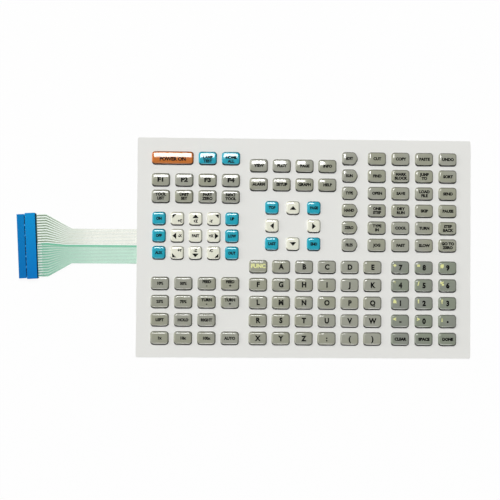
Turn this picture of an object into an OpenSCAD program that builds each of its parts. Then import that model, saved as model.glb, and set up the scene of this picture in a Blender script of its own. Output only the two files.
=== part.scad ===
// Membrane keypad: a film sandwich with formed keys, a flat printed tail and a crimped connector.
// It lies on its rear face, front up. The origin is the centre of the rear face, X runs along
// the keypad's width and Y up its front, and the tail leaves on the -X side.

/* [Keys] */
// Width of a standard key at its foot
key_w = 18.2; // [16:0.1:22]
// Height of a standard key at its foot
key_h = 13.4; // [12:0.1:16]
// Side of a square key at its foot
square_key = 13.6; // [12:0.1:15]
// Width of a mode key, from its flat side to its point
mode_key_w = 16.4; // [14:0.1:18]
// Depth of a mode key's point
mode_point = 3.4; // [2.4:0.1:4.4]
// Corner radius of a key at its foot
key_corner_r = 3.2; // [2.4:0.1:4]
// Height of a key's wall above the sheet
key_rise = 1.7; // [1:0.05:2.4]
// Inward lean of a key's wall from its foot to its top
key_draft = 0.6; // [0.3:0.05:1]
// Height of the bevel round a key's top, above its wall
key_bevel_h = 0.5; // [0.2:0.05:0.8]
// Width of the bevel round a key's top
key_bevel_w = 1.4; // [0.8:0.1:2.4]
// Room between a key's film and its filler
filler_clearance = 0.1; // [0.05:0.05:0.3]

/* [Key layout] */
// Margin from the outer keys to the left and right edges
side_margin = 14; // [8:0.5:25]
// Margin from the outer keys to the upper and lower edges
end_margin = 12.2; // [8:0.1:25]
// Gap between the left, middle and right groups of keys
group_gap = 9.3; // [6:0.1:15]
// Gap between columns in the left group
left_gap = 4.7; // [3:0.1:8]
// Gap between columns in the middle group
middle_gap = 4.4; // [3:0.1:8]
// Gap between columns in the right group
right_gap = 5.3; // [3:0.1:8]
// Gap between rows of the edit and mode keys
edit_row_gap = 3.7; // [3:0.1:6]
// Gap between rows of the letter and number keys
letter_row_gap = 4.2; // [3:0.1:6]
// Gap between the edit keys and the number keys below them
block_gap = 8.6; // [6:0.1:15]
// Drop of the bar key's row below the first edit row
bar_drop = 1.2; // [0:0.1:3]
// Gap between the bar key's row and the function keys
bar_gap = 8.2; // [6:0.1:10]
// Gap between rows of the function keys
function_row_gap = 2.9; // [2:0.1:5]
// Gap between the function keys and the jog pad
jog_top_gap = 8.3; // [6:0.1:10]
// Gap between columns of the jog pad
jog_gap_x = 4.3; // [3:0.1:5]
// Gap between rows of the jog pad
jog_gap_y = 3.2; // [2:0.1:5]
// Gap between rows of the override keys
override_row_gap = 4.4; // [3:0.1:5]
// Drop of the display keys below the first edit row
display_drop = 7.9; // [4:0.1:10]
// Gap between rows of the display keys
display_row_gap = 5.1; // [3:0.1:6]
// Gap between the display keys and the cursor pad
cursor_top_gap = 9.4; // [6:0.1:12]
// Gap between columns of the cursor pad
cursor_gap_x = 7.1; // [4:0.1:9]
// Gap between rows of the cursor pad
cursor_gap_y = 4.2; // [3:0.1:6]

/* [Layers] */
// Corner radius of the keypad's outline
panel_corner_r = 1.5; // [0.5:0.1:6]
// Thickness of the release liner
liner_t = 0.1; // [0.05:0.01:0.2]
// Thickness of the rear adhesive
rear_adhesive_t = 0.15; // [0.05:0.01:0.3]
// Thickness of each circuit film
circuit_t = 0.15; // [0.1:0.01:0.25]
// Thickness of the circuit spacer
spacer_t = 0.2; // [0.1:0.01:0.3]
// Thickness of the overlay adhesive
overlay_adhesive_t = 0.1; // [0.05:0.01:0.2]
// Thickness of the graphic overlay
overlay_t = 0.25; // [0.15:0.01:0.4]

/* [Domes and contacts] */
// Distance from a snap dome's rim out to the foot of a standard key's long side
dome_inset = 1.7; // [1.2:0.1:2.5]
// Diameter of a snap dome's flat crest
dome_top_d = 4; // [2:0.1:6]
// Height of a snap dome
dome_rise = 0.45; // [0.3:0.01:0.7]
// Thickness of a snap dome's metal
dome_t = 0.1; // [0.05:0.01:0.15]
// Room round a dome in its retainer
dome_clearance = 0.2; // [0.1:0.05:0.5]
// Room between a dome's top and the key's filler
dome_headroom = 0.05; // [0.02:0.01:0.1]
// Diameter of a contact pad
pad_d = 5; // [3:0.1:6]
// Room round a contact pad in the spacer
pad_clearance = 0.75; // [0.4:0.05:1.5]
// Width of the vent channels between contact holes
vent_w = 1.5; // [0.5:0.1:2.5]
// Thickness of printed pads and tracks
ink_t = 0.03; // [0.02:0.01:0.05]

/* [Tail] */
// Width of the tail's neck, both halves
tail_w = 34; // [28:0.5:44]
// Height of the tail's middle above the keypad's middle
tail_y = 0.5; // [-30:0.5:30]
// Length of the neck, from the keypad's edge to the flare
tail_len = 63; // [30:1:150]
// Length of the flare
flare_len = 24; // [16:1:50]
// Length of the wide end, from the flare to the connector
tail_end_len = 9.5; // [6:0.5:20]
// Gap between the tail's two halves
tail_gap = 0.4; // [0.2:0.1:1]
// Flat length of the tail beside the keypad, before it rises
tail_lead = 8; // [2:1:20]
// Film left outside the outermost ways at the connector
tail_edge = 0.1; // [0.05:0.05:1]
// Width of a track in the neck
track_w = 0.7; // [0.4:0.05:0.8]
// Width of a track at the connector
track_end_w = 1.2; // [0.8:0.05:1.6]
// Extra neck length of the middle tracks before they fan out
fan_stagger = 6; // [0:0.5:10]
// Thickness of the coat over the tracks
insulation_t = 0.06; // [0.05:0.01:0.1]
// Bare length of track outside the connector
bare_len = 4; // [1:0.5:5]

/* [Connector] */
// Number of ways
way_count = 24; // [16:4:32]
// Number of those ways on the upper film
upper_ways = 11; // [6:1:14]
// Distance between ways
way_pitch = 2.54; // [2.54, 3, 3.96]
// Depth of the connector from mating face to tail mouth
connector_depth = 18.5; // [16:0.5:24]
// Depth of the socket block at the mating face
front_depth = 7; // [5:0.5:8]
// Height of the socket block
housing_h = 5; // [4.5:0.1:6]
// Thickness of the tray's floor
floor_t = 1.3; // [0.8:0.1:1.5]
// Thickness of the housing's end walls
housing_end = 0.6; // [0.6:0.1:2]
// Room between the film's edges and those walls
film_room = 0.1; // [0.05:0.05:0.5]
// Height of the tray's end walls
tray_h = 3.9; // [3.5:0.1:4.2]
// Thickness of the cover's top
cover_t = 1.6; // [1:0.1:2]
// Thickness of the cover's end walls
cover_wall = 0.8; // [0.6:0.1:1.5]
// Radius of the cover's corners at the tail's mouth
cover_corner_r = 1.6; // [0.5:0.1:3]
// Height of the cover's end walls above the rear face
cover_foot = 0.5; // [0.2:0.1:1]
// Room between the cover and the housing
cover_clearance = 0.05; // [0.02:0.01:0.1]
// Width of the groove between socket block and cover
groove_w = 0.9; // [0.6:0.1:1.5]
// Width of a strap across the groove
strap_w = 1.4; // [0.8:0.1:2]
// Number of ways between straps
strap_ways = 4; // [2, 4]
// Length of the ribs that clamp the tail
clamp_len = 1.6; // [1:0.1:2]
// Turn of the connector on the tail, in degrees
connector_tilt = 3; // [-4:0.5:4]
// Width of a contact's sleeve
contact_w = 1.6; // [1.4:0.05:1.8]
// Width of a contact's hole for a pin
pin_hole_w = 0.8; // [0.6:0.05:1]
// Room round a contact in its socket
contact_clearance = 0.1; // [0.05:0.05:0.15]
// Thickness of a contact's metal in its crimp
contact_t = 0.2; // [0.15:0.05:0.3]
// Setback of a contact behind the mating face
contact_setback = 0.6; // [0.3:0.1:1]
// Length of film held in the connector
insert_len = 9; // [8:0.1:9.4]
// Length of a contact's crimp on the film
crimp_len = 5; // [3:0.1:5.5]

/* [Hidden] */
// Pitches of the columns and rows
left_pitch = key_w + left_gap;
middle_pitch = key_w + middle_gap;
right_pitch = key_w + right_gap;
edit_pitch = key_h + edit_row_gap;
letter_pitch = key_h + letter_row_gap;
jog_pitch_x = square_key + jog_gap_x;
jog_pitch_y = square_key + jog_gap_y;
cursor_pitch_x = square_key + cursor_gap_x;
cursor_pitch_y = square_key + cursor_gap_y;

// Columns and rows in each block
left_cols = 4;
middle_cols = 6;
right_cols = 3;
edit_rows = 6;
letter_rows = 5;
override_rows = 4;
function_rows = 2;
display_cols = 4;
pad_rows = 3;
jog_cols = 5;

// Size of the keypad, from its margins and key groups
left_width = (left_cols - 1) * left_pitch + key_w;
middle_width = (middle_cols - 1) * middle_pitch + key_w;
right_width = (right_cols - 1) * right_pitch + key_w;
panel_w = 2 * side_margin + 2 * group_gap + left_width + middle_width + right_width;
edit_height = (edit_rows - 1) * edit_pitch + key_h;
letter_height = (letter_rows - 1) * letter_pitch + key_h;
panel_h = 2 * end_margin + block_gap + edit_height + letter_height;

// First column of each group, and first row of each block
left_x = -panel_w / 2 + side_margin + key_w / 2;
middle_x = left_x + left_width + group_gap;
right_x = middle_x + middle_width + group_gap;
edit_y = panel_h / 2 - end_margin - key_h / 2;
letter_y = -panel_h / 2 + end_margin + letter_height - key_h / 2;
override_pitch = key_h + override_row_gap;
override_y = -panel_h / 2 + end_margin + key_h / 2 + (override_rows - 1) * override_pitch;
bar_y = edit_y - bar_drop;
function_pitch = key_h + function_row_gap;
function_y = bar_y - key_h - bar_gap;
jog_y = function_y - (function_rows - 1) * function_pitch - key_h / 2 - jog_top_gap - square_key / 2;
jog_x = left_x + (left_width - key_w) / 2 - (jog_cols - 1) / 2 * jog_pitch_x;
display_pitch = key_h + display_row_gap;
display_y = edit_y - display_drop;
cursor_y = display_y - display_pitch - key_h / 2 - cursor_top_gap - square_key / 2;
cursor_x = middle_x + (display_cols - 1) / 2 * middle_pitch - cursor_pitch_x;
mode_x = middle_x + (middle_cols - 2) * middle_pitch;
bar_w = left_pitch + key_w;

// Each key is [x, y, width, height, depth of its point]
function key_grid(x, y, cols, rows, pitch_x, pitch_y, w, h, point = 0) =
    [for (row = [0:rows - 1], col = [0:cols - 1])
        [x + col * pitch_x, y - row * pitch_y, w, h, point]];

bar_keys = [[left_x + left_pitch / 2, bar_y, bar_w, key_h, 0]];
start_keys = key_grid(left_x + 2 * left_pitch, bar_y, 2, 1, left_pitch, 0, key_w, key_h);
function_keys =
    key_grid(left_x, function_y, left_cols, function_rows, left_pitch, function_pitch, key_w, key_h);
jog_keys =
    key_grid(jog_x, jog_y, jog_cols, pad_rows, jog_pitch_x, jog_pitch_y, square_key, square_key);
// The third override row has no key in its last column
override_grid =
    key_grid(left_x, override_y, left_cols, override_rows, left_pitch, override_pitch, key_w, key_h);
override_keys = [for (i = [0:len(override_grid) - 1]) if (i != 3 * left_cols - 1) override_grid[i]];
display_keys =
    key_grid(middle_x, display_y, display_cols, 2, middle_pitch, display_pitch, key_w, key_h);
// The cursor pad is a ring of eight keys round an empty middle
cursor_grid = key_grid(cursor_x, cursor_y, pad_rows, pad_rows, cursor_pitch_x, cursor_pitch_y,
                       square_key, square_key);
cursor_keys = [for (i = [0:len(cursor_grid) - 1]) if (i != 4) cursor_grid[i]];
mode_keys = key_grid(mode_x, edit_y, 1, edit_rows, 0, edit_pitch, mode_key_w, key_h, mode_point);
edit_keys =
    key_grid(right_x - right_pitch, edit_y, right_cols + 1, edit_rows, right_pitch, edit_pitch, key_w, key_h);
letter_keys =
    key_grid(middle_x, letter_y, middle_cols, letter_rows, middle_pitch, letter_pitch, key_w, key_h);
number_keys =
    key_grid(right_x, letter_y, right_cols, letter_rows, right_pitch, letter_pitch, key_w, key_h);
KEYS = concat(bar_keys, start_keys, function_keys, jog_keys, override_keys, display_keys, cursor_keys,
              mode_keys, edit_keys, letter_keys, number_keys);

// Diameter of a snap dome, which fills its key's height
dome_d = key_h - 2 * dome_inset;

// Level of each layer's underside, from the rear face up
retainer_t = dome_rise + dome_headroom;
rear_adhesive_z = liner_t;
lower_z = rear_adhesive_z + rear_adhesive_t;
spacer_z = lower_z + circuit_t;
upper_z = spacer_z + spacer_t;
retainer_z = upper_z + circuit_t;
overlay_adhesive_z = retainer_z + retainer_t;
overlay_z = overlay_adhesive_z + overlay_adhesive_t;
face_z = overlay_z + overlay_t;
// Reach of a cut past the face that it opens
cut = 0.5;
// A key's wall outside and inside: reach below the sheet's face, height of its shoulder above that face,
// width and height of the bevel; the inner bevel lies above the roof that ends the hollow
outer_wall = [overlay_t, key_rise, key_bevel_w, key_bevel_h];
inner_wall = [overlay_t + cut, key_rise - overlay_t + cut, cut, cut];

// Places along the tail, from its root in the keypad out, and the level of the film in the connector
tail_x = -panel_w / 2;
root_x = tail_x + side_margin / 2;
flare_x = tail_x - tail_len;
end_x = flare_x - flare_len;
mouth_x = end_x - tail_end_len;
end_half_w = way_count / 2 * way_pitch + tail_edge;
socket_z = housing_h / 2;
film_z = socket_z - circuit_t / 2;
track_pitch = (tail_w - tail_gap) / way_count;
// Height of the split between the tail's halves, in the neck and in the connector's own frame
split_ways = way_count / 2 - upper_ways;
split_y = tail_y + split_ways * track_pitch;
split_end = split_ways * way_pitch;
// Steps of the tail's gentle rise, and its reach past the mouth
rise_steps = 12;
tail_reach = mouth_x - connector_depth;

// The connector's own sizes; its X runs from the mouth at 0 to the mating face at -connector_depth
housing_len = 2 * (end_half_w + film_room + housing_end);
block_x = front_depth - connector_depth;
socket_w = contact_w + 2 * contact_clearance;
cover_depth = -block_x - groove_w;
crimp_gap = circuit_t + 2 * ink_t;

// A rectangle with round corners
module rounded(w, h, r) {
    square([w - 2 * r, h], center = true);
    square([w, h - 2 * r], center = true);
    for (x = [-1, 1], y = [-1, 1])
        translate([x * (w / 2 - r), y * (h / 2 - r)])
            circle(r, $fn = 32);
}

module panel_outline() {
    rounded(panel_w, panel_h, panel_corner_r);
}

// Outline of one key, moved in from its foot by inset; a mode key is trimmed to a point
module key_outline(key, inset) {
    w = key[2] - 2 * inset;
    h = key[3] - 2 * inset;
    point = key[4];
    if (point == 0)
        rounded(w, h, key_corner_r - inset);
    else
        intersection() {
            rounded(w, h, key_corner_r - inset);
            polygon([[-w, -h], [w / 2 - 2 * point, -h], [w / 2, 0], [w / 2 - 2 * point, h], [-w, h]]);
        }
}

// A long bar whose sides lean in above z = 0, with bevelled shoulders under its top
module leaning_bar(w, length, wall) {
    below = wall[0];
    shoulder = wall[1];
    bevel_w = wall[2];
    top = shoulder + wall[3];
    slope = key_draft / key_rise;
    foot = w / 2 + below * slope;
    edge = w / 2 - shoulder * slope;
    rotate([90, 0, 0])
        linear_extrude(length, center = true)
            polygon([[-foot, -below], [foot, -below], [edge, shoulder],
                     [edge - bevel_w, top], [bevel_w - edge, top], [-edge, shoulder]]);
}

// A key's outline moved in by inset and raised to top, with leaning walls; the bar along X reaches past
// a mode key's point, which has leaning sides of its own
module straight_form(key, inset, top, wall) {
    w = key[2] - 2 * inset;
    h = key[3] - 2 * inset;
    point = key[4];
    intersection() {
        translate([0, 0, -wall[0]])
            linear_extrude(wall[0] + top)
                key_outline(key, inset);
        translate([point / 2, 0, 0])
            leaning_bar(w + point, 2 * h, wall);
        rotate([0, 0, 90])
            leaning_bar(h, 2 * w, wall);
    }
}

// A bar that leans in along one side of a mode key's point, above (side 1) or below its middle (side -1)
module point_bar(key, inset, wall, side) {
    w = key[2] - 2 * inset;
    turn = atan2(2 * key[4], key[3] - 2 * inset);
    rotate([0, 0, side * turn])
        translate([w / 2 * cos(turn) - w, 0, 0])
            leaning_bar(2 * w, 2 * w, wall);
}

// The raised form of a key over z = 0
module key_form(key, inset, top, wall) {
    if (key[4] == 0)
        straight_form(key, inset, top, wall);
    else
        intersection() {
            straight_form(key, inset, top, wall);
            point_bar(key, inset, wall, 1);
            point_bar(key, inset, wall, -1);
        }
}

module at_keys(z) {
    for (key = KEYS)
        translate([key[0], key[1], z])
            children();
}

module at_ways() {
    translate([mouth_x, tail_y, 0])
        rotate([0, 0, connector_tilt])
            for (way = [0:way_count - 1])
                translate([0, (way - (way_count - 1) / 2) * way_pitch, socket_z])
                    children();
}

module at_connector() {
    translate([mouth_x, tail_y, 0])
        rotate([0, 0, connector_tilt])
            children();
}

// A place in the connector's own frame, seen in the keypad's frame
function in_connector(x, y) =
    [mouth_x + x * cos(connector_tilt) - y * sin(connector_tilt),
     tail_y + x * sin(connector_tilt) + y * cos(connector_tilt)];

// How far the tail has risen at x, from 0 at the keypad to 1 at the connector
function tail_rise(step) = let (t = step / rise_steps) t * t * (3 - 2 * t);
function rise_x(step) =
    let (start = tail_x - tail_lead) start + (end_x - start) * step / rise_steps;

// A sheet that follows the tail from z_start up to film_z, between two heights over the film's underside
module tail_sheet(z_start, low, high, x_start) {
    line = concat([[x_start, z_start]],
                  [for (step = [0:rise_steps])
                      [rise_x(step), z_start + (film_z - z_start) * tail_rise(step)]],
                  [[tail_reach, film_z]]);
    last = len(line) - 1;
    rotate([90, 0, 0])
        linear_extrude(4 * end_half_w, center = true)
            polygon(concat([for (p = line) p + [0, low]],
                           [for (i = [0:last]) line[last - i] + [0, high]]));
}

// Number of ways on the upper (side 1) or the lower film (side -1)
function side_ways(side) = side > 0 ? upper_ways : way_count - upper_ways;

// Plan of one half of the tail, on the upper (side 1) or the lower side (side -1)
module tail_half(side) {
    edge = side * tail_gap / 2;
    polygon([[root_x, split_y + edge],
             [root_x, tail_y + side * tail_w / 2],
             [flare_x, tail_y + side * tail_w / 2],
             in_connector(tail_end_len, side * end_half_w),
             in_connector(-insert_len, side * end_half_w),
             in_connector(-insert_len, split_end + edge),
             in_connector(tail_end_len, split_end + edge),
             [flare_x - fan_stagger, split_y + edge]]);
}

// Plan of one track, numbered out from the split between the tail's halves
module track(side, number) {
    neck_y = split_y + side * (tail_gap / 2 + (number + 0.5) * track_pitch);
    end_y = split_end + side * (number + 0.5) * way_pitch;
    fan_x = flare_x - fan_stagger * (1 - number / side_ways(side));
    polygon([[tail_x, neck_y - track_w / 2],
             [fan_x, neck_y - track_w / 2],
             in_connector(tail_end_len, end_y - track_end_w / 2),
             in_connector(-insert_len, end_y - track_end_w / 2),
             in_connector(-insert_len, end_y + track_end_w / 2),
             in_connector(tail_end_len, end_y + track_end_w / 2),
             [fan_x, neck_y + track_w / 2],
             [tail_x, neck_y + track_w / 2]]);
}

// Extrudes a plan through the tail's whole height
module tall() {
    linear_extrude(housing_h)
        children();
}

module circuit(z, side) {
    union() {
        translate([0, 0, z])
            linear_extrude(circuit_t)
                panel_outline();
        intersection() {
            tail_sheet(z, 0, circuit_t, root_x);
            tall()
                tail_half(side);
        }
    }
}

// The tracks of one tail half, between two heights over the film's underside
module conductors(z, side, low, high) {
    intersection() {
        tail_sheet(z, low, high, tail_x);
        tall()
            for (number = [0:side_ways(side) - 1])
                track(side, number);
    }
}

// A coat over the tracks of one tail half, short of the connector, with grooves between two heights
// where the tracks lie in it
module insulation(z, side, low, groove_low, groove_high) {
    difference() {
        intersection() {
            tail_sheet(z, low, low + insulation_t, tail_x);
            tall()
                intersection() {
                    tail_half(side);
                    at_connector()
                        translate([bare_len, -2 * end_half_w])
                            square([2 * (tail_x - mouth_x), 4 * end_half_w]);
                }
        }
        conductors(z, side, groove_low, groove_high);
    }
}

module graphic_overlay() {
    color("Gainsboro")
        difference() {
            union() {
                translate([0, 0, overlay_z])
                    linear_extrude(overlay_t)
                        panel_outline();
                for (key = KEYS)
                    translate([key[0], key[1], face_z])
                        key_form(key, 0, key_rise + key_bevel_h + cut, outer_wall);
            }
            for (key = KEYS)
                translate([key[0], key[1], face_z])
                    key_form(key, overlay_t, key_rise - overlay_t, inner_wall);
        }
}

module key_fillers() {
    color("DarkGray")
        for (key = KEYS)
            translate([key[0], key[1], overlay_adhesive_z])
                linear_extrude(face_z + key_rise - overlay_t - filler_clearance - overlay_adhesive_z)
                    key_outline(key, overlay_t + key_draft + filler_clearance);
}

module overlay_adhesive() {
    color("Khaki")
        translate([0, 0, overlay_adhesive_z])
            linear_extrude(overlay_adhesive_t)
                difference() {
                    panel_outline();
                    for (key = KEYS)
                        translate([key[0], key[1]])
                            key_outline(key, overlay_t);
                }
}

module dome_retainer() {
    color("WhiteSmoke")
        translate([0, 0, retainer_z])
            linear_extrude(retainer_t)
                difference() {
                    panel_outline();
                    at_keys(0)
                        circle(d = dome_d + 2 * dome_clearance, $fn = 48);
                }
}

// The outside of one dome, a low cone with a flat crest
module dome_cone() {
    cylinder(d1 = dome_d, d2 = dome_top_d, h = dome_rise, $fn = 64);
}

module snap_domes() {
    color("Silver")
        at_keys(retainer_z)
            difference() {
                dome_cone();
                translate([0, 0, -dome_t])
                    dome_cone();
            }
}

module upper_circuit() {
    color("AliceBlue")
        circuit(upper_z, 1);
}

module upper_contact_pads() {
    color("DimGray")
        at_keys(upper_z - ink_t)
            cylinder(d = pad_d, h = ink_t, $fn = 32);
}

module upper_conductors() {
    color("Gray")
        conductors(upper_z, 1, -ink_t, 0);
}

module upper_insulation() {
    color("WhiteSmoke")
        insulation(upper_z, 1, -insulation_t, -ink_t, cut);
}

module circuit_spacer() {
    hole_d = pad_d + 2 * pad_clearance;
    color("White")
        translate([0, 0, spacer_z])
            linear_extrude(spacer_t)
                difference() {
                    panel_outline();
                    at_keys(0)
                        circle(d = hole_d, $fn = 48);
                    for (i = [1:len(KEYS) - 1])
                        if (KEYS[i][1] == KEYS[i - 1][1])
                            translate([KEYS[i - 1][0], KEYS[i][1] - vent_w / 2])
                                square([KEYS[i][0] - KEYS[i - 1][0], vent_w]);
                }
}

module lower_circuit() {
    color("Honeydew")
        circuit(lower_z, -1);
}

module lower_contact_pads() {
    color("DimGray")
        at_keys(spacer_z)
            cylinder(d = pad_d, h = ink_t, $fn = 32);
}

module lower_conductors() {
    color("Gray")
        conductors(lower_z, -1, circuit_t, circuit_t + ink_t);
}

module lower_insulation() {
    color("PaleGreen")
        insulation(lower_z, -1, circuit_t, circuit_t - cut, circuit_t + ink_t);
}

module rear_adhesive() {
    color("Khaki")
        translate([0, 0, rear_adhesive_z])
            linear_extrude(rear_adhesive_t)
                panel_outline();
}

module release_liner() {
    color("Wheat")
        linear_extrude(liner_t)
            panel_outline();
}

module connector_housing() {
    color("DodgerBlue")
        difference() {
            at_connector()
                union() {
                    translate([-connector_depth, -housing_len / 2, 0])
                        cube([front_depth, housing_len, housing_h]);
                    translate([block_x - cut, -housing_len / 2, 0])
                        cube([cut - block_x, housing_len, floor_t]);
                    for (side = [-1, 1])
                        translate([block_x - cut, (side * (housing_len - housing_end) - housing_end) / 2, 0])
                            cube([cut - block_x, housing_end, tray_h]);
                    translate([-2 * clamp_len, -housing_len / 2, 0])
                        cube([clamp_len, housing_len, film_z - insulation_t]);
                }
            at_ways()
                translate([-connector_depth - cut, -socket_w / 2, -socket_w / 2])
                    cube([front_depth + 2 * cut, socket_w, socket_w]);
        }
}

// Plan of the cover, with round corners at the tail's mouth
module cover_plan(half) {
    translate([-cover_depth, -half])
        square([cover_depth - cover_corner_r, 2 * half]);
    translate([-cover_depth, cover_corner_r - half])
        square([cover_depth, 2 * (half - cover_corner_r)]);
    for (side = [-1, 1])
        translate([-cover_corner_r, side * (half - cover_corner_r)])
            circle(cover_corner_r, $fn = 32);
}

module connector_cover() {
    cover_half = housing_len / 2 + cover_clearance;
    clamp_half = housing_len / 2 - housing_end - cover_clearance;
    color("DeepSkyBlue")
        at_connector()
            union() {
                difference() {
                    translate([0, 0, cover_foot])
                        linear_extrude(tray_h + cover_t - cover_foot)
                            cover_plan(cover_half + cover_wall);
                    translate([-cover_depth - cut, -cover_half, cover_foot - cut])
                        cube([cover_depth + 2 * cut, 2 * cover_half, tray_h - cover_foot + cut]);
                }
                translate([-2 * clamp_len, -clamp_half, film_z + crimp_gap])
                    cube([clamp_len, 2 * clamp_half, tray_h + cover_t - film_z - crimp_gap]);
                for (way = [0:strap_ways:way_count])
                    translate([block_x, (way - way_count / 2) * way_pitch - strap_w / 2, tray_h])
                        cube([groove_w + cut, strap_w, cover_t / 2]);
            }
}

module connector_contacts() {
    sleeve_len = front_depth - 2 * contact_setback;
    bar_x = block_x - 2 * contact_setback;
    web_x = -insert_len - 2 * contact_t;
    crimp_h = crimp_gap + 2 * contact_t;
    color("LightGray")
        at_ways() {
            difference() {
                translate([contact_setback - connector_depth, -contact_w / 2, -contact_w / 2])
                    cube([sleeve_len, contact_w, contact_w]);
                translate([-connector_depth, -pin_hole_w / 2, -pin_hole_w / 2])
                    cube([front_depth - 3 * contact_setback, pin_hole_w, pin_hole_w]);
            }
            translate([bar_x, -pin_hole_w / 2, -crimp_h / 2])
                cube([web_x + contact_t - bar_x, pin_hole_w, crimp_h]);
            for (z = [-crimp_h / 2, crimp_gap / 2])
                translate([web_x, -track_end_w / 2, z])
                    cube([crimp_len - web_x - insert_len, track_end_w, contact_t]);
        }
}

graphic_overlay();
key_fillers();
overlay_adhesive();
dome_retainer();
snap_domes();
upper_circuit();
upper_contact_pads();
upper_conductors();
upper_insulation();
circuit_spacer();
lower_circuit();
lower_contact_pads();
lower_conductors();
lower_insulation();
rear_adhesive();
release_liner();
connector_housing();
connector_cover();
connector_contacts();
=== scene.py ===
# %% [markdown]
# # A membrane keypad
# The keypad is a sandwich of thin films that lies flat with its front up. The solids of every layer come
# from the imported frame, and this lesson dresses them: the front film gets softly rounded, glossy keys, the
# keys get their legends, the flat tail gets its clear and green films, and the connector its moulded
# plastic. Lengths are written in millimetres, as on a drawing, and become metres when a mesh is made.

# %% Frame and units
import math
from collections import namedtuple

import bmesh
import bpy
from mathutils import Matrix, Vector


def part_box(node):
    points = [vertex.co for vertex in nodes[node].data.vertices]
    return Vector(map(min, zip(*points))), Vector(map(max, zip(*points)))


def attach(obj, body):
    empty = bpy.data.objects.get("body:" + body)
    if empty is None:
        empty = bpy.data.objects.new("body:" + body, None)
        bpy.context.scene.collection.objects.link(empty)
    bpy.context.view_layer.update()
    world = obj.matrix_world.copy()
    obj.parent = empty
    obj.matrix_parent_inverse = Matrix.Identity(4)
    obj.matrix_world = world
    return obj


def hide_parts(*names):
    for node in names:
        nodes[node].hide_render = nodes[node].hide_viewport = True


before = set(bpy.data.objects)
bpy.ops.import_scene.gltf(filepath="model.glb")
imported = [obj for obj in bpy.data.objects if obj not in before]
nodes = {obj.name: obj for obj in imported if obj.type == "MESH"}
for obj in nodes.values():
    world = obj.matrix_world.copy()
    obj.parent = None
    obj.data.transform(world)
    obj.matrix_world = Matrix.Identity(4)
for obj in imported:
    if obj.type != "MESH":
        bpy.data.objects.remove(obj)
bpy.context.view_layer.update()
MM = 0.001


def box_mm(node):
    """Lowest and highest corner of a node, in millimetres."""
    low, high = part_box(node)
    return low / MM, high / MM


sheet_high = box_mm("release_liner")[1]
overlay_high = box_mm("graphic_overlay")[1]
adhesive_high = box_mm("overlay_adhesive")[1]
OVERLAY_THICKNESS = 0.25
face_z = adhesive_high.z + OVERLAY_THICKNESS
key_top = overlay_high.z - face_z
print(f"frame: {len(nodes)} nodes, front face at {face_z:.2f} mm, keys {key_top:.2f} mm proud")

# %% [markdown]
# ## Where the keys are
# Nothing here repeats the layout by hand. Each key has its own filler block under the film, so the islands
# of that one node say where every key is and how large it is. The keys are then sorted into the blocks that
# a user sees, because blocks share their colour and their kind of legend.

# %% Key places
Key = namedtuple("Key", "x y w h")
# A filler stands this far inside its key's foot: film, lean of the wall and room
FILLER_INSET = OVERLAY_THICKNESS + 0.6 + 0.1
# Where the blocks part along X, and the widths that part the four kinds of key
LEFT_GROUP_END, MIDDLE_GROUP_END, RIGHT_GROUP_START = -60, 30, 80
SQUARE_MAX, MODE_MAX, PLAIN_MAX = 15, 17.5, 30


def islands(obj):
    """Boxes of a node's separate solids, as pairs of corners in millimetres."""
    bm = bmesh.new()
    bm.from_mesh(obj.data)
    bmesh.ops.remove_doubles(bm, verts=bm.verts, dist=0.001 * MM)
    seen = set()
    boxes = []
    for start in bm.verts:
        if start in seen:
            continue
        seen.add(start)
        todo = [start]
        found = []
        while todo:
            vert = todo.pop()
            found.append(vert.co / MM)
            for edge in vert.link_edges:
                other = edge.other_vert(vert)
                if other not in seen:
                    seen.add(other)
                    todo.append(other)
        low = Vector(min(co[i] for co in found) for i in range(3))
        high = Vector(max(co[i] for co in found) for i in range(3))
        boxes.append((low, high))
    bm.free()
    return boxes


def key_from_filler(corners):
    low, high = corners
    size = high - low
    middle = (low + high) / 2
    return Key(middle.x, middle.y, size.x + 2 * FILLER_INSET, size.y + 2 * FILLER_INSET)


def in_reading_order(some_keys):
    return sorted(some_keys, key=lambda k: (-round(k.y), k.x))


keys = in_reading_order(key_from_filler(corners) for corners in islands(nodes["key_fillers"]))
bar_keys = [k for k in keys if k.w > PLAIN_MAX]
mode_keys = [k for k in keys if SQUARE_MAX < k.w < MODE_MAX]
square_keys = [k for k in keys if k.w < SQUARE_MAX]
plain_keys = [k for k in keys if MODE_MAX < k.w < PLAIN_MAX]
left_keys = [k for k in plain_keys if k.x < LEFT_GROUP_END]
right_keys = [k for k in plain_keys if k.x > LEFT_GROUP_END]
start_keys = [k for k in left_keys if abs(k.y - bar_keys[0].y) < 1]
function_keys = [k for k in left_keys if k not in start_keys and k.y > 0]
override_keys = [k for k in left_keys if k.y < 0]
display_keys = [k for k in right_keys if k.x < MIDDLE_GROUP_END and k.y > 0]
edit_keys = [k for k in right_keys if k.x > MIDDLE_GROUP_END and k.y > 0]
letter_keys = [k for k in right_keys if k.x < RIGHT_GROUP_START and k.y < 0]
number_keys = [k for k in right_keys if k.x > RIGHT_GROUP_START and k.y < 0]
jog_keys = [k for k in square_keys if k.x < LEFT_GROUP_END]
cursor_keys = [k for k in square_keys if k.x > LEFT_GROUP_END]
# The jog pad's outer columns and the cursor pad's corners are cyan, the rest of both pads is cream
jog_sides = [k for i, k in enumerate(jog_keys) if i % 5 in (0, 4)]
jog_arrows = [k for k in jog_keys if k not in jog_sides]
cursor_corners = [cursor_keys[i] for i in (0, 2, 5, 7)]
cursor_arrows = [k for k in cursor_keys if k not in cursor_corners]
print(f"keys: {len(keys)}, of which {len(letter_keys)} letters and {len(number_keys)} numbers")

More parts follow.
